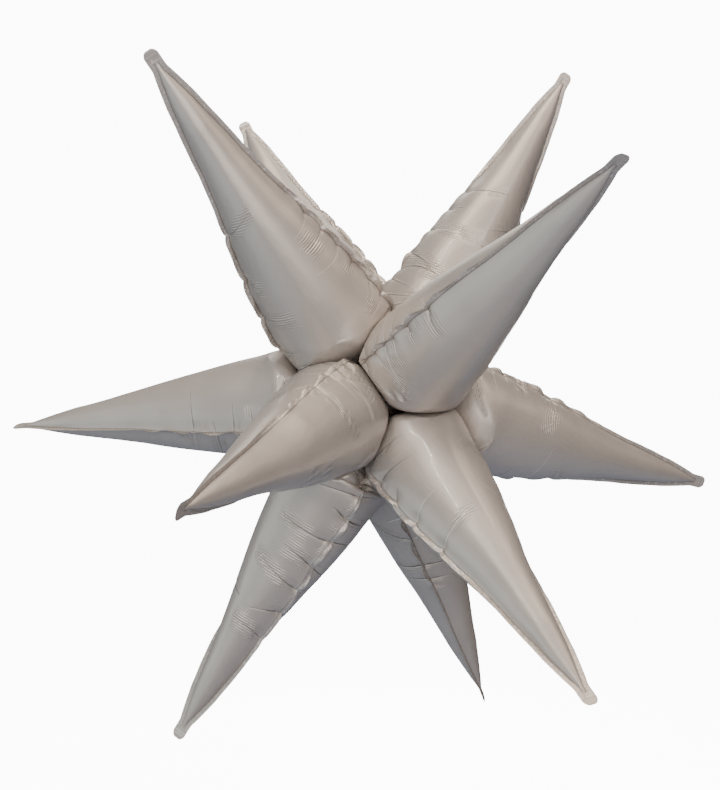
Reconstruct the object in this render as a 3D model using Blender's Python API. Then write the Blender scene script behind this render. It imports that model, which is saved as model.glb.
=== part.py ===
"""Starburst foil balloon: twelve welded foil spikes drawn together at a centre tie. Metres, +Z up.

The origin is at the centre tie. Each spike is two foil panels welded round their rim: a panel is half of a
hollow tapered body with a flat weld fin, and the tail at the rounded base runs in to the tie.
"""

from math import cos, pi, radians, sin, sqrt

import bmesh
import bpy
from mathutils import Matrix, Vector

# Driving dimensions of one spike
TIP_REACH = 0.350  # centre tie to the end of each spike
BASE_REACH = 0.090  # centre tie to the widest part of each rounded base
BASE_RADIUS = 0.0475  # of the inflated body where it is widest
DOME_DEPTH = 0.043  # widest part to the closed end of the base
TAB_LENGTH = 0.012  # flat end of the weld beyond the inflated body
SIDE_CURVE = 0.85  # 1 is a straight side, less is a side that bulges towards the tip
WELD_CURVE = 0.93  # the same for the weld: the body is narrower across its weld than it is thick
BODY_BLEND = 12.0  # how sharply the sides turn into the rounded base
BLEND_FILL = 1.01  # makes up the radius that the blend takes away
WALL = 0.002  # foil panel
TIP_FIN = 0.0045  # width of the flat weld fin outside the body, at the tip
BASE_FIN = 0.004  # the same round the base, where the fin is drawn in
TAB_HALF_WIDTH = 0.0016  # of the flat tab, inside its fins
TAB_ROUNDING = 0.4  # share of the tab's length over which its end narrows
TAB_END_FIN = 0.6  # share of the fin's width that is left at the very end

# Tails, and the tie that holds them
TAIL_ROOT_WIDTH = 0.010
TAIL_WIDTH = 0.008
TAIL_THICK = 0.0016
TIE_RADIUS = 0.0105

# Clearances between pieces that touch
WELD_GAP = 0.0003  # between the two panels of a spike
CONTACT_GAP = 0.0003  # between spikes that press on each other
TAIL_GAP = 0.0005  # at both ends of a tail
WELD_RISE = WELD_GAP / 2 + WALL  # a panel's outer face over the plane of its weld

# Mesh steps
STRAIGHT_STATIONS = 5  # cross-sections of the straight sides
DOME_TURNS = (18, 42, 66, 90)  # degrees round the base's curve
ARCH_SEGMENTS = 6  # over a panel, from weld to weld

# Finishes
FOIL = {"colour": (0.42, 0.38, 0.35, 1.0), "roughness": 0.38, "metallic": 0.35}
TAIL_FILM = {"colour": (0.46, 0.42, 0.39, 1.0), "roughness": 0.45, "metallic": 0.1}
TIE_LINE = {"colour": (0.62, 0.60, 0.57, 1.0), "roughness": 0.6, "metallic": 0.0}

# Where each spike points, in degrees: its tip as seen from the tie, its base as the neighbours press it
# aside, and how far its weld is rolled about its own axis
SPIKES = (
    # name, tip azimuth, tip elevation, base azimuth, base elevation, weld roll
    ("upper_left", -135.0, 46.5, -136.0, 47.5, 45),
    ("upper_left_rear", 131.5, 53.0, 125.0, 51.5, -50),
    ("upper_right_rear", 15.0, 58.5, 8.0, 55.5, 85),
    ("upper_right", -59.0, 26.5, -62.0, 21.0, -5),
    ("left", 170.0, -5.0, -177.5, -7.0, -27),
    ("front", -111.0, -12.0, -118.5, -15.0, 72),
    ("right", 18.5, -14.5, 4.0, -16.5, -75),
    ("lower_right", -58.5, -37.0, -54.5, -41.0, 13),
    ("lower_right_rear", 50.0, -61.5, 73.0, -49.5, 50),
    ("lower_left", -175.5, -59.5, -162.0, -61.0, -60),
    ("rear_right", 69.5, 15.5, 64.5, 10.5, 40),
    ("rear_left", 108.5, -19.0, 122.0, -9.0, 75),
)


def clear_scene():
    for obj in list(bpy.context.scene.objects):
        bpy.data.objects.remove(obj, do_unlink=True)


def add_material(name, colour, roughness, metallic):
    """A plain Principled material."""
    made = bpy.data.materials.new(name)
    made.use_nodes = True
    shader = made.node_tree.nodes["Principled BSDF"]
    shader.inputs["Base Color"].default_value = colour
    shader.inputs["Roughness"].default_value = roughness
    shader.inputs["Metallic"].default_value = metallic
    return made


def add_object(name, shape, finish, place, parent):
    """Turns a bmesh into a smooth shaded object at a place, with a material of its own."""
    mesh = bpy.data.meshes.new(name)
    shape.to_mesh(mesh)
    shape.free()
    mesh.materials.append(add_material(f"{name}_finish", **finish))
    mesh.shade_smooth()
    mesh.set_sharp_from_angle(angle=radians(40))
    obj = bpy.data.objects.new(name, mesh)
    bpy.context.scene.collection.objects.link(obj)
    obj.parent = parent
    obj.matrix_local = place
    return obj


def direction(azimuth, elevation):
    """Unit vector of an azimuth and an elevation in degrees."""
    flat = cos(radians(elevation))
    return Vector((flat * cos(radians(azimuth)), flat * sin(radians(azimuth)), sin(radians(elevation))))


def placed(origin, width, axis):
    """Matrix with its origin there, Z along the axis, X along the width as nearly as that allows."""
    across = (width - axis * width.dot(axis)).normalized()
    return Matrix.Translation(origin) @ Matrix((across, axis.cross(across), axis)).transposed().to_4x4()


def weld_direction(axis, roll):
    """Which way a spike's weld runs out from its axis: level at roll 0, then turned about the axis."""
    level = Vector((0, 0, 1)).cross(axis).normalized()
    return level * cos(radians(roll)) + axis.cross(level) * sin(radians(roll))


def contact_planes(index, bases, place):
    """The planes where the neighbours press on a spike, as normal and offset in its own frame."""
    planes = []
    for other, towards in enumerate(bases):
        if other != index:
            normal = (bases[index] - towards).normalized()
            offset = place.translation.dot(normal) - CONTACT_GAP / 2
            planes.append((place.to_3x3().transposed() @ normal, offset))
    return planes


def drawn_in(point, centre, planes):
    """How much of the way from the section's centre to a point is free of the neighbours."""
    share = 1.0
    for normal, offset in planes:
        at_centre = centre.dot(normal) + offset
        at_point = point.dot(normal) + offset
        if at_point < 0:
            share = min(share, at_centre / (at_centre - at_point))
    return share


def body_radius(height, length, curve):
    """Half of the inflated body at a height over its widest part, on sides of that curve."""
    side = BASE_RADIUS * max(0.0, 1 - height / (length - TAB_LENGTH)) ** curve
    drop = max(0.0, -height) / DOME_DEPTH
    dome = BASE_RADIUS * sqrt(max(0.0, 1 - drop * drop))
    if side <= 1e-6 or dome <= 1e-6:
        return 0.0
    return BLEND_FILL * (side**-BODY_BLEND + dome**-BODY_BLEND) ** (-1 / BODY_BLEND)


def section(height, length):
    """Outer points of a panel at a height: fin edge, arch, fin edge."""
    rise = body_radius(height, length, SIDE_CURVE)
    root = max(body_radius(height, length, WELD_CURVE), TAB_HALF_WIDTH)
    fin = BASE_FIN + (TIP_FIN - BASE_FIN) * max(0.0, height / length)
    if height == length:
        fin *= TAB_END_FIN
    points = [Vector((-root - fin, WELD_RISE, height))]
    for i in range(ARCH_SEGMENTS + 1):
        turn = pi * i / ARCH_SEGMENTS
        points.append(Vector((-root * cos(turn), WELD_RISE + rise * sin(turn), height)))
    points.append(Vector((root + fin, WELD_RISE, height)))
    return points


def station_heights(length):
    """Heights of the cross-sections, from the tip's tab down to the fin under the base."""
    top = length - TAB_LENGTH
    heights = [length, length - TAB_LENGTH * TAB_ROUNDING]
    heights += [top * (1 - i / STRAIGHT_STATIONS) for i in range(STRAIGHT_STATIONS + 1)]
    heights += [-DOME_DEPTH * sin(radians(turn)) for turn in DOME_TURNS]
    return heights + [-DOME_DEPTH - BASE_FIN]


def panel_shape(length, planes, side):
    """The outer face of one foil panel, skinned over its stations. Side is 1 or -1, across the weld."""
    shape = bmesh.new()
    rows = []
    for height in station_heights(length):
        centre = Vector((0, WELD_RISE * side, height))
        inner = Vector((0, -WALL * side, 0))
        points = [Vector((p.x, p.y * side, p.z)) for p in section(height, length)]
        shares = [drawn_in(p, centre, planes) for p in points]
        for edge, root in (0, 1), (-1, -2):
            under = drawn_in(points[edge] + inner, centre + inner, planes)
            shares[edge] = shares[root] = min(shares[edge], shares[root], under)
        rows.append([shape.verts.new(centre.lerp(p, share)) for p, share in zip(points, shares)])
    for upper, lower in zip(rows, rows[1:]):
        for i in range(len(upper) - 1):
            shape.faces.new((upper[i], upper[i + 1], lower[i + 1], lower[i]))
    if side < 0:
        bmesh.ops.reverse_faces(shape, faces=shape.faces)
    return shape


def tail_shape(length):
    """A flat strip that narrows from the base's weld to the tie."""
    shape = bmesh.new()
    bmesh.ops.create_cube(shape, size=1.0)
    for vert in shape.verts:
        width = TAIL_ROOT_WIDTH if vert.co.z < 0 else TAIL_WIDTH
        vert.co = Vector((vert.co.x * width, vert.co.y * TAIL_THICK, (vert.co.z + 0.5) * length))
    return shape


def tie_shape():
    """The tie's wound knot."""
    shape = bmesh.new()
    bmesh.ops.create_icosphere(shape, subdivisions=3, radius=TIE_RADIUS)
    return shape


def add_spike(index, bases, parent):
    """The two panels and the tail of one spike."""
    name, tip_azimuth, tip_elevation = SPIKES[index][:3]
    roll = SPIKES[index][5]
    base = bases[index] * BASE_REACH
    reach = direction(tip_azimuth, tip_elevation) * TIP_REACH - base
    axis = reach.normalized()
    weld = weld_direction(axis, roll)
    place = placed(base, weld, axis)
    planes = contact_planes(index, bases, place)
    for number, side in (1, 1), (2, -1):
        shape = panel_shape(reach.length, planes, side)
        panel = add_object(f"{name}_spike_panel_{number}", shape, FOIL, place, parent)
        wall = panel.modifiers.new("wall", "SOLIDIFY")
        wall.thickness = WALL
        wall.offset = -1
    base_end = base - axis * (DOME_DEPTH + BASE_FIN)
    inward = -base_end.normalized()
    lean = (-axis).angle(inward)
    start = base_end + inward * (TAIL_GAP + TAIL_ROOT_WIDTH / 2 * sin(lean))
    run = start.length - TIE_RADIUS - TAIL_GAP
    strip = placed(start, weld, inward)
    add_object(f"{name}_spike_tail", tail_shape(run), TAIL_FILM, strip, parent)


def build():
    clear_scene()
    balloon = bpy.data.objects.new("balloon", None)
    bpy.context.scene.collection.objects.link(balloon)
    bases = [direction(row[3], row[4]) for row in SPIKES]
    for index in range(len(SPIKES)):
        add_spike(index, bases, balloon)
    add_object("centre_tie", tie_shape(), TIE_LINE, Matrix.Identity(4), balloon)


build()
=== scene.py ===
"""Looks of the starburst foil balloon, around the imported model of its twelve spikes."""

from math import cos, pi, radians, sin

import bmesh
import bpy
import numpy as np
from mathutils import Matrix, Vector


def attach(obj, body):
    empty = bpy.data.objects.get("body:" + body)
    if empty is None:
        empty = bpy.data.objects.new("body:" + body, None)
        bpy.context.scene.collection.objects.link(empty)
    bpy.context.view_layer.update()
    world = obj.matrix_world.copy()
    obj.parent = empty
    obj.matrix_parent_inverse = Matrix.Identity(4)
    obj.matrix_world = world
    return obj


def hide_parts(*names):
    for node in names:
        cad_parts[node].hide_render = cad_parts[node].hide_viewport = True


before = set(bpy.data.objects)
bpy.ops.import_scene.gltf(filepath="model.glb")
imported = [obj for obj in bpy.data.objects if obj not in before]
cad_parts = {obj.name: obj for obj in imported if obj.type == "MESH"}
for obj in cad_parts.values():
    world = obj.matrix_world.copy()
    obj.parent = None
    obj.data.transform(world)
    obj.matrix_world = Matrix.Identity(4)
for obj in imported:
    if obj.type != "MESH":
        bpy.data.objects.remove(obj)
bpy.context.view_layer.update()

# Camera
# The photograph was taken level with the balloon's centre and straight on to it, from about a metre away.
# Its frame is a little off the centre tie, which the lens shift follows.
CAMERA_AWAY = 1.0
PHOTO_HEIGHT = 790
REACH_IN_PHOTO = 394  # pixels that a spike's 0.35 m take at the distance of the tie
TIE_RIGHT_OF_MIDDLE = 18
TIE_ABOVE_MIDDLE = 1
TIP_REACH = 0.350

camera_data = bpy.data.cameras.new("photo_camera")
camera_data.sensor_width = 36
camera_data.lens = camera_data.sensor_width * REACH_IN_PHOTO / TIP_REACH * CAMERA_AWAY / PHOTO_HEIGHT
camera_data.shift_x = -TIE_RIGHT_OF_MIDDLE / PHOTO_HEIGHT
camera_data.shift_y = -TIE_ABOVE_MIDDLE / PHOTO_HEIGHT
camera = bpy.data.objects.new("photo_camera", camera_data)
camera.location = (0, -CAMERA_AWAY, 0)
camera.rotation_euler = (radians(90), 0, 0)
bpy.context.scene.collection.objects.link(camera)
bpy.context.scene.camera = camera


# Cut of the spikes
# Each spike is a pouch of two foil panels, heat welded round their rim with a flat fin of weld outside it.
# The weld is straight along the sides and bends round the base, where it has more length than the blown up
# body has room for: the spare length stands in puckers.
BASE_RADIUS = 0.0475
DOME_RADIUS = 0.0536
DOME_DEPTH = 0.049
DOME_FULLNESS = 3.1  # 2 is a half ellipse, more is a fuller base
TAB_LENGTH = 0.012
TAB_HALF_WIDTH = 0.0016  # of the unwelded film inside the tab
TAB_RADIUS = 0.0062
TAB_TURNS = (25, 50, 75, 90)  # degrees round the tab's end, one row each
SIDE_CURVE = 0.85  # below 1 the sides bulge towards the tip
BODY_BLEND = 12.0  # how sharply the sides turn into the rounded base
BLEND_FILL = 1.01  # makes up the radius that the blend takes away
FIN_WIDTH = 0.0046
FIN_COLUMNS = 2
PANEL_COLUMNS = 14
RUFFLE_TOP = 0.125  # height over the widest part where the puckers start
SIDE_ROWS = 24
RUFFLE_ROWS = 80
DOME_ROWS = 40


def body_radius(height, length):
    """Radius of the blown up body at a height over its widest part."""
    side = BASE_RADIUS * np.maximum(1e-9, 1 - height / (length - TAB_LENGTH)) ** SIDE_CURVE
    drop = np.maximum(0.0, -height) / DOME_DEPTH
    dome = DOME_RADIUS * np.maximum(1e-12, 1 - drop**DOME_FULLNESS) ** (1 / DOME_FULLNESS)
    return BLEND_FILL * (side**-BODY_BLEND + dome**-BODY_BLEND) ** (-1 / BODY_BLEND)


def weld_line(length):
    """Half of the weld from tip to base end: its distance from the axis, its height and its fin's width."""
    top = length - TAB_LENGTH
    round_end = np.radians(TAB_TURNS)
    tab = length - TAB_RADIUS * (1 - np.cos(round_end))
    side = np.linspace(top, RUFFLE_TOP, SIDE_ROWS)
    ruffle = np.linspace(RUFFLE_TOP, 0, RUFFLE_ROWS)[1:-1]
    turn = np.linspace(0, pi / 2, DOME_ROWS)
    heights = np.concatenate([tab, side, ruffle, -DOME_DEPTH * np.sin(turn)])
    out = body_radius(heights, length)
    out[heights >= top] = 0.0
    out[-1] = 0.0
    root = np.maximum(out, np.where(heights > 0, TAB_HALF_WIDTH, 0.0))
    fin = np.full(len(heights), FIN_WIDTH)
    fin[: len(TAB_TURNS)] = TAB_RADIUS * np.sin(round_end) - root[: len(TAB_TURNS)]
    return root, heights, fin


def there_and_back(half):
    """A half of the weld carried on up the other side."""
    return np.concatenate([half, half[-2::-1]])


def blown_shape(length):
    """Both panels as grids of points on the blown up body, each row from the fin's rim to the middle line."""
    root, heights, fin = weld_line(length)
    side = there_and_back(root)
    side[: len(root) - 1] *= -1
    rise = there_and_back(heights)
    fin = there_and_back(fin)
    middle = np.maximum(rise, 0)
    arch = body_radius(middle, length)
    arch[middle >= length - TAB_LENGTH] = 0.0
    out = np.stack([-np.gradient(rise), np.gradient(side)], 1) * -1
    out /= np.linalg.norm(out, axis=1, keepdims=True)
    if out[0, 0] > 0:
        out = -out
    rows = np.zeros((2, len(side), FIN_COLUMNS + PANEL_COLUMNS, 3))
    for column in range(FIN_COLUMNS):
        share = 1 - column / FIN_COLUMNS
        rows[:, :, column, 0] = side + out[:, 0] * fin * share
        rows[:, :, column, 2] = rise + out[:, 1] * fin * share
    for step, turn in enumerate(np.linspace(pi / 2, 0, PANEL_COLUMNS)):
        column = FIN_COLUMNS + step
        rows[:, :, column, 0] = side * sin(turn)
        rows[:, :, column, 2] = middle + (rise - middle) * sin(turn)
        rows[0, :, column, 1] = arch * cos(turn)
        rows[1, :, column, 1] = -arch * cos(turn)
    return rows


# Blowing up
# The film hardly stretches and folds with almost no force, so air rounds the pouch until the film is taut
# across the weld, and what is too long along the weld buckles. The grid of each panel is moved step by
# step: air pushes it out, then every edge is pulled back to its cut length, and neighbours press it flat.
BLOW_STEPS = 260
PULLS_A_STEP = 4
EDGE_PULL = 0.5  # of an edge's error that each of its ends makes up in one pull
SLANT_PULL = 0.35  # the same for a slanting edge
AIR_PUSH = 1e-5
CARRY = 0.92  # of a step's movement that goes on in the next
FASTEST = 0.0008
BUCKLING = 0.10  # resistance of the film to being pushed together, against 1 for being stretched
SHEAR_BUCKLING = 0.06
FILM_BENDING = 0.006
WELD_BENDING = 0.045  # the doubled film of weld and fin is stiffer
BENDING_ACROSS = 0.010
TAB_ROWS = len(TAB_TURNS)
STEADIED_ROWS = 14  # near the tab, where the film hardly gives
FIRST_UNEVENNESS = 0.0004  # which starts the buckling of the weld
EVEN_ENDS = 0.25  # share of the rows over which that fades out at each end
SPARE_HEIGHTS = (RUFFLE_TOP * 1.3, RUFFLE_TOP, 0.05, 0.0)
SPARE_SHARES = (0.004, 0.02, 0.07, 0.09)  # of the weld's length, at those heights
EASE_HEIGHTS = (-0.018, -0.008, 0.015, 0.035)  # where rounding off begins, holds and ends
EASE_FROM_WELD = 0.006
EASE_STEP = 0.5
EASE_ROUNDS = 30
WAIST_HEIGHTS = (0.055, 0.100, 0.130, 0.160, 0.185, 0.215)
WAIST_SHARES = (1.0, 0.94, 0.85, 0.81, 0.86, 1.0)  # of the width that the taut weld leaves there


def row_spare(length):
    """How much longer than the blown up body the cut film is along the weld, row by row."""
    _, heights, _ = weld_line(length)
    share = np.interp(-heights, [-height for height in SPARE_HEIGHTS], SPARE_SHARES)
    return there_and_back(share)


def lengths(span):
    return np.linalg.norm(span, axis=-1).astype(np.float32)


def pull_pair(film, first, second, rest, buckling, share):
    """Moves both ends of every edge so that it comes back to its rest length."""
    span = film[second] - film[first]
    now = np.sqrt(np.einsum("...i,...i->...", span, span)) + 1e-9
    wrong = (now - rest) / now
    wrong = np.where(wrong < 0, wrong * buckling, wrong) * share
    span *= wrong[..., None]
    film[first] += span
    film[second] -= span


def join_panels(film, fan_start):
    """Fin and weld are one for both panels, and the two halves of a panel meet on its middle line."""
    welded = FIN_COLUMNS + 1
    film[:, :, :welded] = film[:, :, :welded].mean(axis=0)
    film[:, :, -1] = (film[:, :, -1] + film[:, ::-1, -1]) / 2
    fan = slice(fan_start, film.shape[1] - fan_start)
    film[:, fan, -1] = film[:, fan, -1].mean(axis=1, keepdims=True)


def soften(film, along, across):
    """Takes the sharpest bends out of the film."""
    for axis, strength in (1, along), (2, across):
        lines = np.moveaxis(film, axis, 0)
        bend = lines[2:] - 2 * lines[1:-1] + lines[:-2]
        lines[2:-2] -= strength * (bend[2:] - 2 * bend[1:-1] + bend[:-2])


def outward(film):
    """Unit normals of the grid, out of each panel."""
    along = np.gradient(film, axis=1)
    across = np.gradient(film, axis=2)
    normal = np.cross(along, across)
    normal /= np.linalg.norm(normal, axis=-1, keepdims=True) + 1e-12
    normal[0] *= -1
    return normal


def press_flat(film, planes):
    """Moves what has gone through a contact plane back onto it."""
    for normal, offset in planes:
        sunk = np.minimum(film @ normal + offset, 0)
        film -= sunk[..., None] * normal


def blow_up(rows, spare, planes, fan_start, chance):
    """Finds the blown up, puckered form of a pouch."""
    near_weld = np.concatenate([np.ones(FIN_COLUMNS), np.linspace(1, 0, PANEL_COLUMNS)])
    extra = 1 + (spare[1:] + spare[:-1])[:, None] / 2 * near_weld**2
    bare_along = lengths(rows[0, 1:] - rows[0, :-1])
    along = (bare_along * extra).astype(np.float32)
    across = lengths(rows[0, :, 1:] - rows[0, :, :-1])
    longer = (along**2 - bare_along**2)[:, 1:]
    slant_down = np.sqrt(lengths(rows[0, 1:, 1:] - rows[0, :-1, :-1]) ** 2 + longer)
    slant_up = np.sqrt(lengths(rows[0, 1:, :-1] - rows[0, :-1, 1:]) ** 2 + longer)
    count = rows.shape[1]
    fade_rows = (0, count * EVEN_ENDS, count * (1 - EVEN_ENDS), count)
    fade = np.interp(np.arange(count), fade_rows, (0, 1, 1, 0))
    start = rows.copy()
    for axis in 0, 1:
        uneven = np.convolve(chance.normal(size=count), np.ones(3) / 3, "same") * fade * FIRST_UNEVENNESS
        start[..., axis] += uneven[None, :, None] * near_weld**2
    film = start.astype(np.float32)
    stiff = np.full((FIN_COLUMNS + PANEL_COLUMNS, 1), FILM_BENDING, np.float32)
    stiff[: FIN_COLUMNS + 1] = WELD_BENDING
    steady = np.interp(np.arange(count), (0, TAB_ROWS - 1, STEADIED_ROWS), (1, 1, 0))
    steady = np.maximum(steady, steady[::-1]).astype(np.float32)[:, None, None]
    held = rows.astype(np.float32)
    speed = np.zeros_like(film)
    every = slice(None)
    for _ in range(BLOW_STEPS):
        before = film.copy()
        air = outward(film) * AIR_PUSH
        air[:, :, :FIN_COLUMNS] = 0
        film += speed * CARRY + air
        for _ in range(PULLS_A_STEP):
            for odd in 0, 1:
                upper, lower = slice(odd, -1, 2), slice(odd + 1, None, 2)
                pull_pair(film, (every, upper), (every, lower), along[odd::2], BUCKLING, EDGE_PULL)
            for odd in 0, 1:
                outer, inner = slice(odd, -1, 2), slice(odd + 1, None, 2)
                pull_pair(film, (every, every, outer), (every, every, inner), across[:, odd::2],
                          BUCKLING, EDGE_PULL)
            for odd in 0, 1:
                upper, lower = slice(odd, -1, 2), slice(odd + 1, None, 2)
                left, right = slice(None, -1), slice(1, None)
                pull_pair(film, (every, upper, left), (every, lower, right), slant_down[odd::2],
                          SHEAR_BUCKLING, SLANT_PULL)
                pull_pair(film, (every, upper, right), (every, lower, left), slant_up[odd::2],
                          SHEAR_BUCKLING, SLANT_PULL)
            join_panels(film, fan_start)
        soften(film, stiff, BENDING_ACROSS)
        join_panels(film, fan_start)
        film += (held - film) * steady
        base_end = slice(count // 2 - 1, count // 2 + 2)
        film[:, base_end, FIN_COLUMNS] = held[:, base_end, FIN_COLUMNS]
        press_flat(film, planes)
        speed = film - before
        pace = np.linalg.norm(speed, axis=-1, keepdims=True)
        speed *= np.minimum(1, FASTEST / np.maximum(pace, 1e-9))
    return film


def draw_in(film):
    """Makes the pouch narrower across its weld, which the puckers have drawn tight."""
    film[..., 0] *= np.interp(film[..., 2], WAIST_HEIGHTS, WAIST_SHARES)


def ease(film, fan_start):
    """Rounds off the ridges between the flats that neighbours press into a base."""
    share = np.interp(film[..., 2], EASE_HEIGHTS, (0, 1, 1, 0))
    share *= np.clip(from_weld(film) / EASE_FROM_WELD, 0, 1) * EASE_STEP
    fan = slice(fan_start, film.shape[1] - fan_start)
    for _ in range(EASE_ROUNDS):
        middle = film[:, 1:-1, 1:-1]
        around = film[:, :-2, 1:-1] + film[:, 2:, 1:-1] + film[:, 1:-1, :-2] + film[:, 1:-1, 2:]
        seam = film[:, 1:-1, -1]
        along_seam = film[:, :-2, -1] + film[:, 2:, -1] + film[:, 1:-1, -2] + film[:, -2:0:-1, -2]
        eased = middle + (around / 4 - middle) * share[:, 1:-1, 1:-1, None]
        film[:, 1:-1, -1] = seam + (along_seam / 4 - seam) * share[:, 1:-1, -1, None]
        film[:, 1:-1, 1:-1] = eased
        film[:, fan, -1] = film[:, fan, -2].mean(axis=1, keepdims=True)


# Creases
# Where the weld has too much length it folds in a sharp notch, and from each notch a crease runs into both
# panels. Beside the creases the film stands in bunches of fine parallel wrinkles, and the fin, free at its
# rim, leans over one way or the other between the notches.
NOTCH_DEPTH = 0.0031
NOTCH_SPREAD = 0.0034  # along the weld
NOTCH_INTO_PANEL = 0.0075
FOLD_DEPTH = 0.00080  # of the sharp valley along a crease
FOLD_SPREAD = 0.0022
PALE_FOLD_SHARE = 0.4  # of that depth under a crease that stands up
CREASE_STRENGTHS = (0.65, 1.15)
CREASE_REACH = (0.014, 0.052)
SHORTER_ONES = 1.3  # above 1 more of the creases are short
CREASE_FADE = 0.7  # below 1 a crease stays sharp for most of its reach
FOLD_FADE = 1.5  # and its depth fades sooner
CREASE_LEAN = 0.35
CREASE_BOW = 6.0  # per metre
CLEAR_OF_WELD = 0.004  # where a crease has its full depth
WRINKLE_SPACING = 0.0026
WRINKLE_HEIGHT = 0.00026
WRINKLE_CHANCE = 0.6
WRINKLE_BUNCH = (2, 4)  # wrinkles in half a bunch
WRINKLE_STARTS = (0.1, 0.5)  # shares of the crease's reach between which the bunch starts and ends
WRINKLE_ENDS = (0.9, 1.2)
WRINKLE_FADES = (0.003, 0.005)  # at the bunch's start and end
HATCH_HEIGHT = 0.00030  # of the short wrinkles that stand against the weld
HATCH_START = 0.0008
HATCH_REACH = (0.005, 0.013)
HATCH_BESIDE = (0.005, 0.013)  # from the crease to the middle of the bunch
HATCH_LENGTH = (0.004, 0.008)  # half of a bunch, along the weld
HATCH_FADES = (0.001, 0.003)
HATCH_SLANT = 0.15
HATCH_CHANCE = 0.55
NO_LINE = 6.0  # millimetres that count as clear of any crease
USUAL_PALE_SHARE = 0.2
PALE_SHARES = {
    # how many of a spike's creases stand up with a pale line that is painted highlight and worn lacquer in
    # one, and don't lie in a valley of painted shade
    "front": 0.9,
    "right": 0.6,
    "upper_right": 0.5,
    "lower_right": 0.4,
}
FIN_LEAN = 24  # degrees at most
FIN_LEAN_SHARES = (0.3, 1)  # of that between two notches
TOP_LEAN_SHARE = 0.3  # over the last notch
CALM_LEAN_SHARE = 0.25  # on the straight weld and where the fin is folded
CALM_FROM = 1.6  # times the height of the puckers
FIN_LEAN_SWING = 0.0012  # of weld over which the lean changes at a notch
FOLD_STARTS = (0.110, 0.170)  # height on the weld where a folded fin lies over fully, and where it begins to
FIN_FOLDS = {
    # degrees that a whole fin is folded over, on a spike's first and second side: more than 0 is towards
    # its first panel
    "upper_right_rear": (-55, -75),
    "upper_right": (15, 60),
    "left": (0, 25),
    "front": (50, 75),
    "right": (45, 50),
    "lower_right": (-25, -65),
    "lower_left": (-65, -60),
}
CREASE_SCALES = {
    # how long and plain a spike's creases are, against the usual
    "upper_right_rear": 1.5,
    "front": 1.4,
    "right": 1.3,
    "lower_right_rear": 1.5,
    "lower_left": 1.2,
}
NOTCH_SHARES = {"left": 0.45, "right": 0.8, "upper_right_rear": 0.6, "lower_right_rear": 0.6, "front": 0.6}
TWISTS = {
    # degrees that a spike's weld is turned from its straight run, at the base and at the tip
    "upper_right": (2, -8),
    "lower_left": (26, -12),
}
TWIST_HEIGHTS = (0.060, 0.200)
USUAL_CREASES = ((118, 92, 64, 43, 24, 6, -12, -34), (105, 80, 52, 33, 15, -4, -22, -40))
CREASES = {
    # millimetres along the weld from its widest place, towards the tip, on a spike's first and second side
    "upper_left": ((104, 63, 25, -7, -30), (88, 67, 49, 29, 7, -12, -34)),
    "upper_right_rear": ((122, 96, 70, 48, 25, 5, -14), (108, 85, 59, 32, 14, 2, -14, -36)),
    "upper_right": ((62, 37, 19, 7, -6, -20, -38), (96, 66, 38, 14, -10, -30)),
    "left": ((96, 70, 48, 24, 4, -18), (64, 42, 25, 6, -12, -32)),
    "front": ((98, 70, 44, 20, 2, -16, -36), (49, 22, 5, -12, -24, -40)),
    "right": ((65, 55, 29, 24, 9, -5, -26), (92, 58, 30, 8, -14, -34)),
    "lower_right": ((92, 59, 32, 7, -14, -36), (90, 58, 30, 10, -14, -34)),
    "lower_right_rear": ((104, 86, 55, 30, 10, -12, -34), (112, 82, 50, 28, 6, -16, -38)),
    "lower_left": ((112, 84, 54, 30, 8, -16, -38), (145, 115, 88, 63, 36, 12, -10, -30)),
}


def weld_places(rows, fan_start):
    """Distance of each row's weld point from the widest part, along the weld: more towards the tip."""
    weld = rows[0, :, FIN_COLUMNS]
    run = np.concatenate([[0], np.cumsum(lengths(weld[1:] - weld[:-1]))])
    places = run[fan_start] - run
    middle = len(run) // 2
    places[middle + 1 :] = places[:middle][::-1]
    return places


def from_weld(film):
    """Distance across the film from the weld, less than 0 on the fin."""
    steps = lengths(film[:, :, 1:] - film[:, :, :-1])
    run = np.concatenate([np.zeros_like(steps[:, :, :1]), np.cumsum(steps, axis=2)], axis=2)
    return run - run[:, :, 2 * FIN_COLUMNS][:, :, None]


def lean_fins(film, places, of_side, marks, fold, chance):
    """Tilts the fin about the weld, to a new angle at each notch, and folds it over as a whole."""
    weld = 2 * FIN_COLUMNS
    edges = np.sort([mark / 1000 for mark in marks])
    count = len(edges) + 1
    leans = chance.uniform(*FIN_LEAN_SHARES, count) * chance.choice((-1, 1), count)
    leans = np.radians(leans * FIN_LEAN)
    leans[-1] *= TOP_LEAN_SHARE
    stops = np.ravel(np.stack([edges - FIN_LEAN_SWING, edges + FIN_LEAN_SWING], 1))
    turn = np.interp(places, stops, np.repeat(leans, 2)[1:-1])
    turn *= np.interp(places, (RUFFLE_TOP, RUFFLE_TOP * CALM_FROM), (1, CALM_LEAN_SHARE))
    folded = radians(fold) * np.interp(places, FOLD_STARTS, (1, 0))
    turn = (turn * np.maximum(CALM_LEAN_SHARE, 1 - np.abs(folded)) + folded) * of_side
    fin = film[:, :, :weld] - film[:, :, weld : weld + 1]
    along = np.gradient(film[:, :, weld], axis=1)
    along /= np.linalg.norm(along, axis=-1, keepdims=True) + 1e-12
    sideways = np.cross(along[:, :, None], fin)
    turned = fin * np.cos(turn)[None, :, None, None] + sideways * np.sin(turn)[None, :, None, None]
    film[:, :, :weld] = film[:, :, weld : weld + 1] + turned


def twist(film, turns):
    """Turns a blown up pouch about its own axis, by one angle at its base and another at its tip."""
    turn = np.radians(np.interp(film[..., 2], TWIST_HEIGHTS, turns))
    x, y = film[..., 0].copy(), film[..., 1].copy()
    film[..., 0] = x * np.cos(turn) - y * np.sin(turn)
    film[..., 1] = x * np.sin(turn) + y * np.cos(turn)


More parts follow.
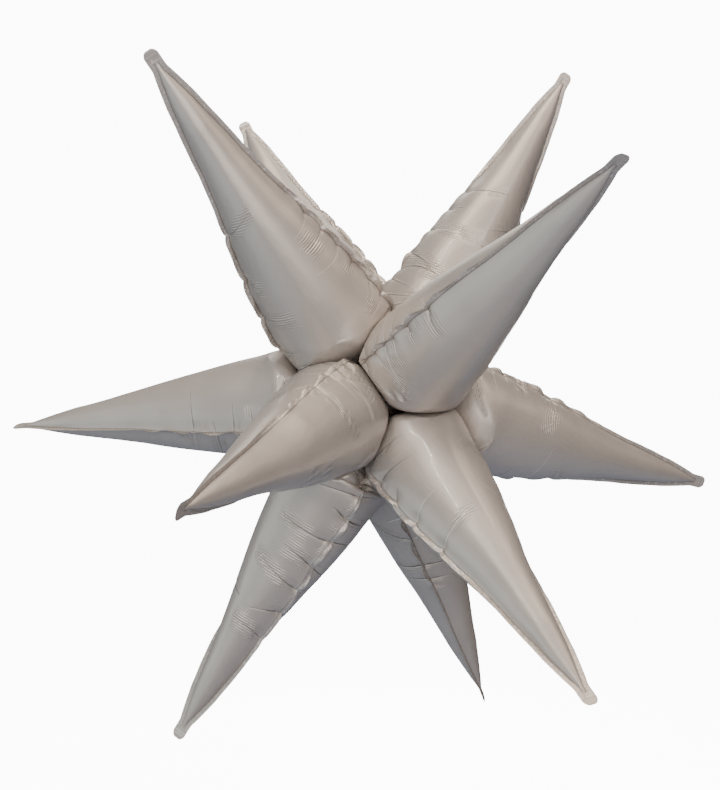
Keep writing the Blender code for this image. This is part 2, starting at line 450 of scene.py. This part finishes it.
def stretch_between(away, start, end, fades):
    """1 between two distances from the weld, with a soft start and end."""
    rise, fall = fades
    return np.clip((away - start) / rise, 0, 1) * np.clip((end - away) / fall, 0, 1)


def crease(film, places, sides, folds, scale, notch_share, pale_share, chance):
    """Presses notches, creases and wrinkles into a blown up pouch.

    Returns each point's distance from the nearest crease in millimetres, how sharp that crease is there (less
    than 0 where it is a pale one), and how finely wrinkled the film is.
    """
    count = film.shape[1]
    across = from_weld(film)
    panel = np.maximum(across, 0)
    clear_of_weld = np.clip(panel / CLEAR_OF_WELD, 0, 1)
    shortest, longest = CREASE_REACH
    weld = film[0, :, 2 * FIN_COLUMNS]
    inward = np.stack([-weld[:, 0], np.zeros(count), np.maximum(-weld[:, 2], 0)], 1)
    inward /= np.linalg.norm(inward, axis=1, keepdims=True) + 1e-9
    notch = np.zeros(film.shape[:3])
    sunk = np.zeros(film.shape[:3])
    hatches = np.zeros(film.shape[:3])
    nearest = np.full(film.shape[:3], NO_LINE)
    sharp = np.zeros(film.shape[:3])
    wrinkled = np.zeros(film.shape[:3])
    for side, marks, fold in zip((0, 1), sides, folds):
        of_side = (np.arange(count) < count // 2) if side == 0 else (np.arange(count) > count // 2)
        lean_fins(film, places, of_side, marks, fold, chance)
        for mark in marks:
            strength = chance.uniform(*CREASE_STRENGTHS)
            for number in 0, 1:
                lean = chance.uniform(-1, 1) * CREASE_LEAN
                bow = chance.uniform(-1, 1) * CREASE_BOW
                reach = scale * (shortest + (longest - shortest) * chance.random() ** SHORTER_ONES)
                away = panel[number]
                off = places[:, None] - mark / 1000 - lean * away - bow * away**2
                near = strength * of_side[:, None]
                lie = -1 if chance.random() < pale_share else 1
                fade = np.clip(1 - away / reach, 0, 1) ** CREASE_FADE
                dent = np.exp(-np.abs(off) / NOTCH_SPREAD - (away / NOTCH_INTO_PANEL) ** 2)
                notch[number] += near * NOTCH_DEPTH * notch_share * dent
                furrow = np.exp(-np.abs(off) / FOLD_SPREAD) * fade**FOLD_FADE
                sunk[number] += near * FOLD_DEPTH * furrow * (1 if lie > 0 else PALE_FOLD_SHARE)
                closer = of_side[:, None] & (fade > 0) & (np.abs(off) * 1000 < np.abs(nearest[number]))
                nearest[number] = np.where(closer, off * 1000, nearest[number])
                sharp[number] = np.where(closer, lie * scale * strength * fade, sharp[number])
                if chance.random() < WRINKLE_CHANCE:
                    bunch = np.exp(-((off / (chance.uniform(*WRINKLE_BUNCH) * WRINKLE_SPACING)) ** 4))
                    start = reach * chance.uniform(*WRINKLE_STARTS)
                    end = reach * chance.uniform(*WRINKLE_ENDS)
                    window = stretch_between(away, start, end, WRINKLE_FADES)
                    wave = np.cos(2 * pi * off / WRINKLE_SPACING)
                    sunk[number] += of_side[:, None] * WRINKLE_HEIGHT * bunch * window * wave
                    wrinkled[number] = np.maximum(wrinkled[number], of_side[:, None] * bunch * window)
                if chance.random() < HATCH_CHANCE:
                    off = places[:, None] - mark / 1000 - chance.uniform(*HATCH_BESIDE)
                    bunch = np.exp(-((off / chance.uniform(*HATCH_LENGTH)) ** 4))
                    end = chance.uniform(*HATCH_REACH)
                    window = stretch_between(away, HATCH_START, end, HATCH_FADES)
                    wave = np.cos(2 * pi * (off + HATCH_SLANT * away) / WRINKLE_SPACING)
                    hatches[number] += of_side[:, None] * HATCH_HEIGHT * bunch * window * wave
                    wrinkled[number] = np.maximum(wrinkled[number], of_side[:, None] * bunch * window)
    notch[:, :, : 2 * FIN_COLUMNS + 1] = notch[:, :, : 2 * FIN_COLUMNS + 1].mean(axis=0)
    normal = outward(film)
    film += inward[None, :, None, :] * notch[..., None]
    film -= normal * (sunk * clear_of_weld + hatches)[..., None]
    return np.stack([nearest, sharp * clear_of_weld, wrinkled], -1)


# Spikes
# Twelve blown up spikes of satin foil film fan out from the centre tie and press each other flat round it.
# Each is made along its own axis, then turned and moved to its place.
BASE_REACH = 0.090
CONTACT_GAP = 0.0004
WELD_HALF = 0.00012  # half of the fin's thickness
SPIKES = (
    # name, tip azimuth, tip elevation, base azimuth, base elevation, weld roll
    ("upper_left", -135.0, 46.5, -136.0, 47.5, 45),
    ("upper_left_rear", 131.5, 53.0, 125.0, 51.5, -50),
    ("upper_right_rear", 15.0, 58.5, 8.0, 55.5, 85),
    ("upper_right", -59.0, 26.5, -62.0, 21.0, -5),
    ("left", 170.0, -5.0, -177.5, -7.0, -27),
    ("front", -111.0, -12.0, -118.5, -15.0, 72),
    ("right", 18.5, -14.5, 4.0, -16.5, -75),
    ("lower_right", -58.5, -37.0, -54.5, -41.0, 13),
    ("lower_right_rear", 50.0, -61.5, 73.0, -49.5, 50),
    ("lower_left", -175.5, -59.5, -162.0, -61.0, -60),
    ("rear_right", 69.5, 15.5, 64.5, 10.5, 40),
    ("rear_left", 108.5, -19.0, 122.0, -9.0, 75),
)


def direction(azimuth, elevation):
    flat = cos(radians(elevation))
    return Vector((flat * cos(radians(azimuth)), flat * sin(radians(azimuth)), sin(radians(elevation))))


def placed(origin, width, axis):
    """Matrix with its origin there, Z along the axis, X along the width as nearly as that allows."""
    across = (width - axis * width.dot(axis)).normalized()
    return Matrix.Translation(origin) @ Matrix((across, axis.cross(across), axis)).transposed().to_4x4()


def weld_direction(axis, roll):
    """Which way a spike's weld runs out from its axis: level at roll 0, then turned about the axis."""
    level = Vector((0, 0, 1)).cross(axis).normalized()
    return level * cos(radians(roll)) + axis.cross(level) * sin(radians(roll))


def contact_planes(index, bases, place):
    """The planes where the neighbours press on a spike, as normal and offset in its own frame."""
    planes = []
    for other, towards in enumerate(bases):
        if other != index:
            normal = (bases[index] - towards).normalized()
            offset = place.translation.dot(normal) - CONTACT_GAP / 2
            local = np.array(place.to_3x3().transposed() @ normal, np.float32)
            planes.append((local, np.float32(offset)))
    return planes


def between(lines):
    """The same lines with one more after each, on a smooth curve through them."""
    ends = [2 * lines[:1] - lines[1:2], lines, 2 * lines[-1:] - lines[-2:-1]]
    wide = np.concatenate(ends)
    middle = (9 * (wide[1:-2] + wide[2:-1]) - wide[:-3] - wide[3:]) / 16
    finer = np.empty((2 * len(lines) - 1, *lines.shape[1:]), lines.dtype)
    finer[::2] = lines
    finer[1::2] = middle
    return finer


def refine(film, fan_start):
    """Twice as many rows and columns, with the weld kept sharp."""
    rows = np.moveaxis(between(np.moveaxis(film, 1, 0)), 0, 1)
    fin = between(np.moveaxis(rows[:, :, : FIN_COLUMNS + 1], 2, 0))
    beyond = rows[:, ::-1, -2][:, :, None]
    body = between(np.moveaxis(np.concatenate([rows[:, :, FIN_COLUMNS:], beyond], axis=2), 2, 0))[:-2]
    fine = np.moveaxis(np.concatenate([fin, body[1:]]), 0, 2)
    fine[:, :, -1] = (fine[:, :, -1] + fine[:, ::-1, -1]) / 2
    fan = slice(2 * fan_start, fine.shape[1] - 2 * fan_start)
    fine[:, fan, -1] = fine[:, fan, -1].mean(axis=1, keepdims=True)
    return fine


def closed_skin(name, sheets, **patterns):
    """A mesh of two sheets of points that meet at their shared points, with named vectors on its points."""
    count, columns = sheets.shape[1:3]
    corner = np.arange(count * columns).reshape(count, columns)
    quads = np.stack([corner[:-1, :-1], corner[:-1, 1:], corner[1:, 1:], corner[1:, :-1]], -1).reshape(-1, 4)
    quads = np.concatenate([quads, quads[:, ::-1] + count * columns])
    mesh = bpy.data.meshes.new(name)
    mesh.from_pydata(sheets.reshape(-1, 3).tolist(), [], quads.tolist())
    for label, values in patterns.items():
        layer = mesh.attributes.new(label, "FLOAT_VECTOR", "POINT")
        layer.data.foreach_set("vector", values.astype(np.float32).ravel())
    skin = bmesh.new()
    skin.from_mesh(mesh)
    bmesh.ops.remove_doubles(skin, verts=skin.verts, dist=1e-7)
    bmesh.ops.recalc_face_normals(skin, faces=skin.faces)
    skin.to_mesh(mesh)
    skin.free()
    mesh.shade_smooth()
    mesh.set_sharp_from_angle(angle=radians(50))
    return mesh


def part_layers(film, tab_rows):
    """Gives fin and tab their thickness: two thin layers that meet at the rim."""
    half = np.zeros(film.shape[1:3])
    half[:, 1 : 2 * FIN_COLUMNS + 1] = WELD_HALF
    half[:tab_rows, 1:] = WELD_HALF
    half[-tab_rows:, 1:] = WELD_HALF
    half[[0, -1]] = 0
    return film + outward(film) * half[None, :, :, None]


def linear(colour):
    """An sRGB hex colour as linear values."""
    shares = [int(colour[i : i + 2], 16) / 255 for i in (1, 3, 5)]
    return [c / 12.92 if c <= 0.04045 else ((c + 0.055) / 1.055) ** 2.4 for c in shares] + [1]


def add_node(tree, kind, sockets, **settings):
    """Adds a node with its own settings; each socket gets a value, or another node's output."""
    node = tree.nodes.new(kind)
    for name, value in settings.items():
        setattr(node, name, value)
    for name, value in sockets.items():
        if isinstance(value, bpy.types.NodeSocket):
            tree.links.new(value, node.inputs[name])
        else:
            node.inputs[name].default_value = value
    return node


# Satin foil is thin nylon film, metallised with aluminium and printed over with a matte sand lacquer. That
# gives a soft, half metallic sheen with faint clear glints on top. The weld is a dark pressed line, and the
# fin outside it is glossier and crinkled by the sealing bar. Pattern sizes are in millimetres on the film.
satin_foil = bpy.data.materials.new("satin_metallised_nylon_film")
satin_foil.use_nodes = True
tree = satin_foil.node_tree
surface = tree.nodes["Principled BSDF"]
on_film = add_node(tree, "ShaderNodeAttribute", {}, attribute_name="film_pattern")
film_place = add_node(tree, "ShaderNodeSeparateXYZ", {"Vector": on_film.outputs["Vector"]})
off_weld = film_place.outputs["Y"]
on_fin = add_node(tree, "ShaderNodeMapRange", {"Value": off_weld, "From Min": 0.3, "From Max": -0.3})
from_line = add_node(tree, "ShaderNodeMath", {0: off_weld}, operation="ABSOLUTE")
weld_line_mask = add_node(
    tree, "ShaderNodeMapRange",
    {"Value": from_line.outputs["Value"], "From Min": 0.9, "From Max": 0.25, "To Max": 0.62},
)
# Painted shade: a dark line in each crease's valley. Painted highlights: a pale line on the edge beside it,
# and on each standing ridge, where the lacquer is also worn pale
on_creases = add_node(tree, "ShaderNodeAttribute", {}, attribute_name="film_creases")
creases = add_node(tree, "ShaderNodeSeparateXYZ", {"Vector": on_creases.outputs["Vector"]})
from_crease = add_node(tree, "ShaderNodeMath", {0: creases.outputs["X"]}, operation="ABSOLUTE")
crease_line = add_node(
    tree, "ShaderNodeMapRange", {"Value": from_crease.outputs["Value"], "From Min": 0.85, "From Max": 0.25}
)
valley = add_node(tree, "ShaderNodeMath", {0: creases.outputs["Y"], 1: 0.0}, operation="MAXIMUM")
ridge = add_node(tree, "ShaderNodeMath", {0: 0.0, 1: creases.outputs["Y"]}, operation="SUBTRACT")
risen = add_node(tree, "ShaderNodeMath", {0: ridge.outputs["Value"], 1: 0.0}, operation="MAXIMUM")
valley_line = add_node(
    tree, "ShaderNodeMath",
    {0: crease_line.outputs["Result"], 1: valley.outputs["Value"]},
    operation="MULTIPLY",
)
ridge_line = add_node(
    tree, "ShaderNodeMath",
    {0: crease_line.outputs["Result"], 1: risen.outputs["Value"]},
    operation="MULTIPLY",
)
# Painted shade: how strongly the valley lines take the dark colour
painted_valley_shade = add_node(
    tree, "ShaderNodeMath", {0: valley_line.outputs["Value"], 1: 0.85}, operation="MULTIPLY"
)
# Painted highlight: a pale line on the edge beside each valley
from_edge = add_node(tree, "ShaderNodeMath", {0: creases.outputs["X"], 1: 1.15}, operation="SUBTRACT")
beside_edge = add_node(tree, "ShaderNodeMath", {0: from_edge.outputs["Value"]}, operation="ABSOLUTE")
edge_line = add_node(
    tree, "ShaderNodeMapRange", {"Value": beside_edge.outputs["Value"], "From Min": 0.6, "From Max": 0.15}
)
edge_mask = add_node(
    tree, "ShaderNodeMath", {0: edge_line.outputs["Result"], 1: valley.outputs["Value"]}, operation="MULTIPLY"
)
painted_edge_highlight = add_node(tree, "ShaderNodeMath", {0: edge_mask.outputs["Value"], 1: 0.4}, operation="MULTIPLY")
painted_crease_highlight = add_node(
    tree, "ShaderNodeMath", {0: ridge_line.outputs["Value"], 1: 0.85, 2: painted_edge_highlight.outputs["Value"]},
    operation="MULTIPLY_ADD", use_clamp=True,
)
# Lacquer that drifts a little in tone, and painted glints: pale flecks on the crinkled fin
cloudy = add_node(
    tree, "ShaderNodeTexNoise", {"Vector": on_film.outputs["Vector"], "Scale": 1 / 45, "Detail": 3.0}
)
lacquer = add_node(
    tree, "ShaderNodeMix",
    {0: cloudy.outputs["Fac"], "A": linear("#A79E96"), "B": linear("#B4AAA1")},
    data_type="RGBA",
)
painted_glint_noise = add_node(
    tree, "ShaderNodeTexNoise", {"Vector": on_film.outputs["Vector"], "Scale": 1 / 2.6, "Detail": 1.0}
)
painted_glint_spots = add_node(
    tree, "ShaderNodeMapRange", {"Value": painted_glint_noise.outputs["Fac"], "From Min": 0.58, "From Max": 0.70}
)
painted_glint_mask = add_node(
    tree, "ShaderNodeMath",
    {0: painted_glint_spots.outputs["Result"], 1: on_fin.outputs["Result"]},
    operation="MULTIPLY",
)
# Painted glints: pale flecks mixed into the fin's colour
with_painted_glints = add_node(
    tree, "ShaderNodeMix",
    {0: painted_glint_mask.outputs["Value"], "A": lacquer.outputs["Result"], "B": linear("#CFC8C0")},
    data_type="RGBA",
)
# Painted shade: a dark colour mixed into each crease's valley
with_painted_crease_shade = add_node(
    tree, "ShaderNodeMix",
    {0: painted_valley_shade.outputs["Value"], "A": with_painted_glints.outputs["Result"], "B": linear("#5C554F")},
    data_type="RGBA",
)
# Painted highlights: a pale colour on the standing ridges, partly worn lacquer, and beside the valleys
with_painted_crease_highlights = add_node(
    tree, "ShaderNodeMix",
    {0: painted_crease_highlight.outputs["Value"], "A": with_painted_crease_shade.outputs["Result"], "B": linear("#DAD4CA")},
    data_type="RGBA",
)
colour = add_node(
    tree, "ShaderNodeMix",
    {0: weld_line_mask.outputs["Result"], "A": with_painted_crease_highlights.outputs["Result"], "B": linear("#6F6761")},
    data_type="RGBA",
)
# Fine relief: crinkles on the fin, drawn film on the body, and hatching and lines along the creases
across_fin = add_node(
    tree, "ShaderNodeMapping", {"Vector": on_film.outputs["Vector"], "Scale": (1.0, 0.5, 0.0)}
)
fine = add_node(
    tree, "ShaderNodeTexNoise", {"Vector": across_fin.outputs["Vector"], "Scale": 1 / 1.8, "Detail": 3.0}
)
stretch = add_node(
    tree, "ShaderNodeMapping", {"Vector": on_film.outputs["Vector"], "Scale": (0.25, 1.0, 0.0)}
)
drawn_film = add_node(
    tree, "ShaderNodeTexNoise", {"Vector": stretch.outputs["Vector"], "Scale": 1 / 9, "Detail": 2.0}
)
crinkle_height = add_node(
    tree, "ShaderNodeMapRange", {"Value": on_fin.outputs["Result"], "To Min": 0.02, "To Max": 1.5}
)
uneven = add_node(
    tree, "ShaderNodeMath",
    {0: fine.outputs["Fac"], 1: crinkle_height.outputs["Result"]},
    operation="MULTIPLY",
)
relief = add_node(
    tree, "ShaderNodeMath", {0: drawn_film.outputs["Fac"], 1: uneven.outputs["Value"]}, operation="ADD"
)
# The wave has a band each pi / 10, which its scale stretches to 2.2 mm
hatching = add_node(
    tree, "ShaderNodeTexWave",
    {"Vector": on_film.outputs["Vector"], "Scale": pi / 10 / 2.2, "Distortion": 1.2, "Detail": 1.0,
     "Detail Scale": 0.6},
)
hatch_relief = add_node(
    tree, "ShaderNodeMath", {0: hatching.outputs["Fac"], 1: creases.outputs["Z"]}, operation="MULTIPLY"
)
hatched = add_node(
    tree, "ShaderNodeMath", {0: hatch_relief.outputs["Value"], 1: 1.2, 2: relief.outputs["Value"]},
    operation="MULTIPLY_ADD",
)
sunk_line = add_node(
    tree, "ShaderNodeMath", {0: valley_line.outputs["Value"], 1: -1.2, 2: hatched.outputs["Value"]},
    operation="MULTIPLY_ADD",
)
raised_line = add_node(
    tree, "ShaderNodeMath", {0: ridge_line.outputs["Value"], 1: 0.8, 2: sunk_line.outputs["Value"]},
    operation="MULTIPLY_ADD",
)
crinkle = add_node(
    tree, "ShaderNodeBump", {"Height": raised_line.outputs["Value"], "Distance": 0.0004, "Strength": 0.8}
)
lacquer_roughness = add_node(
    tree, "ShaderNodeMapRange", {"Value": cloudy.outputs["Fac"], "To Min": 0.36, "To Max": 0.44}
)
roughness = add_node(
    tree, "ShaderNodeMix", {0: on_fin.outputs["Result"], "A": lacquer_roughness.outputs["Result"], "B": 0.34}
)
tree.links.new(colour.outputs["Result"], surface.inputs["Base Color"])
tree.links.new(roughness.outputs["Result"], surface.inputs["Roughness"])
tree.links.new(crinkle.outputs["Normal"], surface.inputs["Normal"])
surface.inputs["Metallic"].default_value = 0.45
surface.inputs["Coat Weight"].default_value = 0.15
surface.inputs["Coat Roughness"].default_value = 0.05


bases = [direction(base_azimuth, base_elevation) for _, _, _, base_azimuth, base_elevation, _ in SPIKES]
for index, (name, tip_azimuth, tip_elevation, _, _, roll) in enumerate(SPIKES):
    base = bases[index] * BASE_REACH
    reach = direction(tip_azimuth, tip_elevation) * TIP_REACH - base
    axis = reach.normalized()
    place = placed(base, weld_direction(axis, roll), axis)
    planes = contact_planes(index, bases, place)
    rows = blown_shape(reach.length)
    fan_start = (rows.shape[1] + 1) // 2 - DOME_ROWS
    chance = np.random.default_rng(index + 1)
    film = blow_up(rows, row_spare(reach.length), planes, fan_start, chance)
    film = refine(film, fan_start)
    draw_in(film)
    ease(film, 2 * fan_start)
    places = between(weld_places(rows, fan_start))
    sides = CREASES.get(name, USUAL_CREASES)
    creasing = crease(film, places, sides, FIN_FOLDS.get(name, (0, 0)), CREASE_SCALES.get(name, 1.0),
                      NOTCH_SHARES.get(name, 1.0), PALE_SHARES.get(name, USUAL_PALE_SHARE), chance)
    twist(film, TWISTS.get(name, (0, 0)))
    press_flat(film, planes)
    # Millimetres along the weld, on a stretch of its own for each spike, and millimetres off the weld
    pattern = np.zeros(film.shape)
    pattern[..., 0] = places[None, :, None] * 1000 + 1000 * index
    pattern[..., 1] = from_weld(film) * 1000
    pattern[:, : 2 * TAB_ROWS, :, 1] = -TAB_RADIUS * 1000
    pattern[:, -2 * TAB_ROWS :, :, 1] = -TAB_RADIUS * 1000
    skin = part_layers(film, 2 * TAB_ROWS)
    mesh = closed_skin(f"{name}_spike", skin, film_pattern=pattern, film_creases=creasing)
    mesh.materials.append(satin_foil)
    mesh.transform(place)
    spike = bpy.data.objects.new(f"{name}_spike", mesh)
    bpy.context.scene.collection.objects.link(spike)
    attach(spike, "root")
    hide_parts(f"{name}_spike_panel_1", f"{name}_spike_panel_2")


# Tails
# The film runs out of each base in a narrow strip, through which the spike was filled. The strips are
# gathered in small pleats and run in to the centre.
TAIL_WIDTHS = (0.0100, 0.0060)  # at the base and at the tie
TAIL_PLEATS = 3
PLEAT_DEPTHS = (0.0002, 0.0010)
TAIL_TWIST = radians(40)
TAIL_HALF_THICK = 0.00012
TAIL_ROWS = 26
TAIL_COLUMNS = 25
TAIL_ROOT = 0.0015  # how far the tail starts inside the fin under the base
TIE_RADIUS = 0.0095

# The same metallised film, dulled all over by fine creasing, so that it hardly shines. Its colour is darker
# than on the spikes, partly from that dullness and partly as painted shade for the gap at the centre
shaded_tail_film = bpy.data.materials.new("creased_film_with_painted_shade")
shaded_tail_film.use_nodes = True
tree = shaded_tail_film.node_tree
surface = tree.nodes["Principled BSDF"]
here = add_node(tree, "ShaderNodeTexCoord", {})
dull = add_node(
    tree, "ShaderNodeTexNoise", {"Vector": here.outputs["Object"], "Scale": 1 / 0.004, "Detail": 3.0}
)
# Painted shade: the film's colour is set darker here than on the spikes
tint = add_node(
    tree, "ShaderNodeMix",
    {0: dull.outputs["Fac"], "A": linear("#6E655F"), "B": linear("#857B73")},
    data_type="RGBA",
)
crinkle = add_node(
    tree, "ShaderNodeBump", {"Height": dull.outputs["Fac"], "Distance": 0.0003, "Strength": 0.6}
)
tree.links.new(tint.outputs["Result"], surface.inputs["Base Color"])
tree.links.new(crinkle.outputs["Normal"], surface.inputs["Normal"])
surface.inputs["Metallic"].default_value = 0.45
surface.inputs["Roughness"].default_value = 0.42


def tail_mesh(name, length):
    """A pleated, slightly twisted strip along Z, closed round its edges."""
    along = np.linspace(0, 1, TAIL_ROWS)[:, None]
    side = np.linspace(-0.5, 0.5, TAIL_COLUMNS)[None]
    width = TAIL_WIDTHS[0] + (TAIL_WIDTHS[1] - TAIL_WIDTHS[0]) * along
    depth = PLEAT_DEPTHS[0] + (PLEAT_DEPTHS[1] - PLEAT_DEPTHS[0]) * along
    out = side * width
    pleat = depth * np.sin(2 * pi * TAIL_PLEATS * side + along)
    turn = TAIL_TWIST * along
    strip = np.stack([out * np.cos(turn) - pleat * np.sin(turn), out * np.sin(turn) + pleat * np.cos(turn),
                      along * length + 0 * side], -1)
    normal = outward(np.stack([strip, strip]))[1]
    half = np.full(strip.shape[:2], TAIL_HALF_THICK)
    half[:, [0, -1]] = 0
    half[[0, -1]] = 0
    both = np.stack([strip + normal * half[..., None], strip - normal * half[..., None]])
    return closed_skin(name, both)


for index, (name, tip_azimuth, tip_elevation, _, _, roll) in enumerate(SPIKES):
    base = bases[index] * BASE_REACH
    axis = (direction(tip_azimuth, tip_elevation) * TIP_REACH - base).normalized()
    start = base - axis * (DOME_DEPTH + FIN_WIDTH - TAIL_ROOT)
    inward = -start.normalized()
    tail = bpy.data.objects.new(f"{name}_gathered_tail", tail_mesh(f"{name}_tail", start.length - TIE_RADIUS))
    tail.data.materials.append(shaded_tail_film)
    tail.matrix_world = placed(start, weld_direction(axis, roll), inward)
    bpy.context.scene.collection.objects.link(tail)
    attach(tail, "root")
    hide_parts(f"{name}_spike_tail")


# Centre tie
# Clear nylon line is wound many times round the ends of the twelve tails and knotted, in a small tight ball.
# Each winding is a ring of line, and the next one lies across it.
LINE_RADIUS = 0.0007
LINE_SIDES = 8
WINDINGS = 17
POINTS_A_WINDING = 40
WINDING_STEP = radians(137.5)  # turn between one winding's pole and the next

# Drawn nylon is smooth, so the line has a small bright glint, and its many turns look milky
tie_line = bpy.data.materials.new("clear_nylon_line")
tie_line.use_nodes = True
tree = tie_line.node_tree
surface = tree.nodes["Principled BSDF"]
here = add_node(tree, "ShaderNodeTexCoord", {})
cloud = add_node(
    tree, "ShaderNodeTexNoise", {"Vector": here.outputs["Object"], "Scale": 1 / 0.003, "Detail": 2.0}
)
tint = add_node(
    tree, "ShaderNodeMix",
    {0: cloud.outputs["Fac"], "A": linear("#A9A49D"), "B": linear("#C4BFB8")},
    data_type="RGBA",
)
tree.links.new(tint.outputs["Result"], surface.inputs["Base Color"])
surface.inputs["Roughness"].default_value = 0.35
surface.inputs["IOR"].default_value = 1.53

tie_skin = bmesh.new()
for winding in range(WINDINGS):
    height = 1 - 2 * (winding + 0.5) / WINDINGS
    flat = (1 - height * height) ** 0.5
    pole = Vector((flat * cos(winding * WINDING_STEP), flat * sin(winding * WINDING_STEP), height))
    ring = placed(Vector(), pole.orthogonal(), pole)
    reach = TIE_RADIUS - LINE_RADIUS * (1 + winding % 3)
    loops = []
    for step in range(POINTS_A_WINDING):
        turn = 2 * pi * step / POINTS_A_WINDING
        outwards = Vector((cos(turn), sin(turn), 0))
        loop = []
        for corner in range(LINE_SIDES):
            around = 2 * pi * corner / LINE_SIDES
            point = outwards * (reach + LINE_RADIUS * cos(around)) + Vector((0, 0, LINE_RADIUS * sin(around)))
            loop.append(tie_skin.verts.new(ring @ point))
        loops.append(loop)
    for loop, following in zip(loops, loops[1:] + loops[:1]):
        for corner in range(LINE_SIDES):
            beside = (corner + 1) % LINE_SIDES
            tie_skin.faces.new((loop[corner], following[corner], following[beside], loop[beside]))
bmesh.ops.recalc_face_normals(tie_skin, faces=tie_skin.faces)
tie_mesh = bpy.data.meshes.new("wound_tie")
tie_skin.to_mesh(tie_mesh)
tie_skin.free()
tie_mesh.shade_smooth()
tie_mesh.materials.append(tie_line)
tie = bpy.data.objects.new("wound_tie", tie_mesh)
bpy.context.scene.collection.objects.link(tie)
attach(tie, "root")
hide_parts("centre_tie")


# Studio floor and backdrop
# A pale seamless sweep, painted matte white: a level floor that curves up into a round wall. It glows evenly
# in place of lamps of its own, and only the camera sees it, so just the boxes and the room light the balloon.
FLOOR_UNDER = 0.80  # under the centre tie
SWEEP_RADIUS = 4.0
SWEEP_CURVE = 1.2
WALL_TOP = 4.0
SWEEP_SIDES = 96
SWEEP_STEPS = 16

sweep_paint = bpy.data.materials.new("matte_white_studio_paint")
sweep_paint.use_nodes = True
tree = sweep_paint.node_tree
surface = tree.nodes["Principled BSDF"]
here = add_node(tree, "ShaderNodeTexCoord", {})
roller = add_node(
    tree, "ShaderNodeTexNoise", {"Vector": here.outputs["Object"], "Scale": 1 / 0.5, "Detail": 2.0}
)
tint = add_node(
    tree, "ShaderNodeMix",
    {0: roller.outputs["Fac"], "A": linear("#F4F4F4"), "B": linear("#FAFAFA")},
    data_type="RGBA",
)
tree.links.new(tint.outputs["Result"], surface.inputs["Base Color"])
tree.links.new(tint.outputs["Result"], surface.inputs["Emission Color"])
surface.inputs["Roughness"].default_value = 0.9
surface.inputs["Emission Strength"].default_value = 12.0

profile = [Vector((0, 0, -FLOOR_UNDER)), Vector((SWEEP_RADIUS / 2, 0, -FLOOR_UNDER))]
for step in range(SWEEP_STEPS + 1):
    turn = pi / 2 * step / SWEEP_STEPS
    out = SWEEP_RADIUS - SWEEP_CURVE + SWEEP_CURVE * sin(turn)
    profile.append(Vector((out, 0, -FLOOR_UNDER + SWEEP_CURVE * (1 - cos(turn)))))
profile.append(Vector((SWEEP_RADIUS, 0, WALL_TOP)))
sweep_skin = bmesh.new()
line = [sweep_skin.verts.new(point) for point in profile]
edges = [sweep_skin.edges.new(pair) for pair in zip(line, line[1:])]
bmesh.ops.spin(sweep_skin, geom=line + edges, cent=(0, 0, 0), axis=(0, 0, 1), angle=2 * pi, steps=SWEEP_SIDES,
               use_merge=True)
bmesh.ops.remove_doubles(sweep_skin, verts=sweep_skin.verts, dist=1e-5)
bmesh.ops.recalc_face_normals(sweep_skin, faces=sweep_skin.faces)
sweep_mesh = bpy.data.meshes.new("studio_sweep")
sweep_skin.to_mesh(sweep_mesh)
sweep_skin.free()
sweep_mesh.shade_smooth()
sweep_mesh.materials.append(sweep_paint)
sweep = bpy.data.objects.new("studio_sweep", sweep_mesh)
bpy.context.scene.collection.objects.link(sweep)
sweep.visible_diffuse = False
sweep.visible_glossy = False
sweep.visible_shadow = False


# Studio lights
# Large soft boxes: one behind the camera, warm ones over the balloon, two behind it, and cool ones from the
# left. A narrow strip light draws fine glints on the clear lacquer. The room is dark on the right, and its
# floor glows pale blue from underneath.
SOFT_BOXES = (
    # name, place, size in metres, watts, colour
    ("front_box", (0.3, -2.0, 0.45), (2.6, 2.0), 60, (1.0, 0.94, 0.90)),
    ("top_box", (0.2, -0.2, 2.0), (1.4, 1.4), 32, (1.0, 0.88, 0.70)),
    ("top_right_box", (1.4, -0.3, 1.5), (1.4, 1.4), 12, (1.0, 0.85, 0.75)),
    ("back_box", (0.0, 1.5, 1.5), (1.4, 1.4), 14, (1.0, 0.95, 0.88)),
    ("rear_box", (0.3, 2.2, 0.3), (1.2, 1.2), 24, (1.0, 0.95, 0.90)),
    ("fill_box", (-1.4, -1.2, -0.8), (1.8, 1.8), 7.5, (0.70, 0.93, 1.0)),
    ("side_box", (-2.0, -0.2, 0.1), (1.4, 1.4), 8, (0.82, 0.97, 1.0)),
    ("strip", (-0.75, -0.9, 1.5), (0.02, 1.2), 14, (1.0, 0.94, 0.84)),
)
ROOM = (0.20, 0.22, 0.26, 1)
DARK_SIDE = (0.045, 0.048, 0.055, 1)  # to the right
FLOOR_GLOW = (0.33, 0.38, 0.50, 1)  # from underneath

for name, place, (width, height), watts, colour in SOFT_BOXES:
    light = bpy.data.lights.new(name, "AREA")
    light.shape = "RECTANGLE"
    light.size = width
    light.size_y = height
    light.energy = watts
    light.color = colour
    box = bpy.data.objects.new(name, light)
    box.location = place
    box.rotation_euler = (-Vector(place)).to_track_quat("-Z", "Y").to_euler()
    bpy.context.scene.collection.objects.link(box)

studio = bpy.data.worlds.new("studio")
studio.use_nodes = True
tree = studio.node_tree
here = add_node(tree, "ShaderNodeTexCoord", {})
towards = add_node(tree, "ShaderNodeSeparateXYZ", {"Vector": here.outputs["Generated"]})
to_right = add_node(
    tree, "ShaderNodeMapRange", {"Value": towards.outputs["X"], "From Min": 0.1, "From Max": 0.7}
)
room = add_node(
    tree, "ShaderNodeMix", {0: to_right.outputs["Result"], "A": ROOM, "B": DARK_SIDE}, data_type="RGBA"
)
underneath = add_node(
    tree, "ShaderNodeMapRange", {"Value": towards.outputs["Z"], "From Min": -0.3, "From Max": -0.8}
)
surround = add_node(
    tree, "ShaderNodeMix", {0: underneath.outputs["Result"], "A": room.outputs["Result"], "B": FLOOR_GLOW},
    data_type="RGBA",
)
tree.links.new(surround.outputs["Result"], tree.nodes["Background"].inputs["Color"])
bpy.context.scene.world = studio
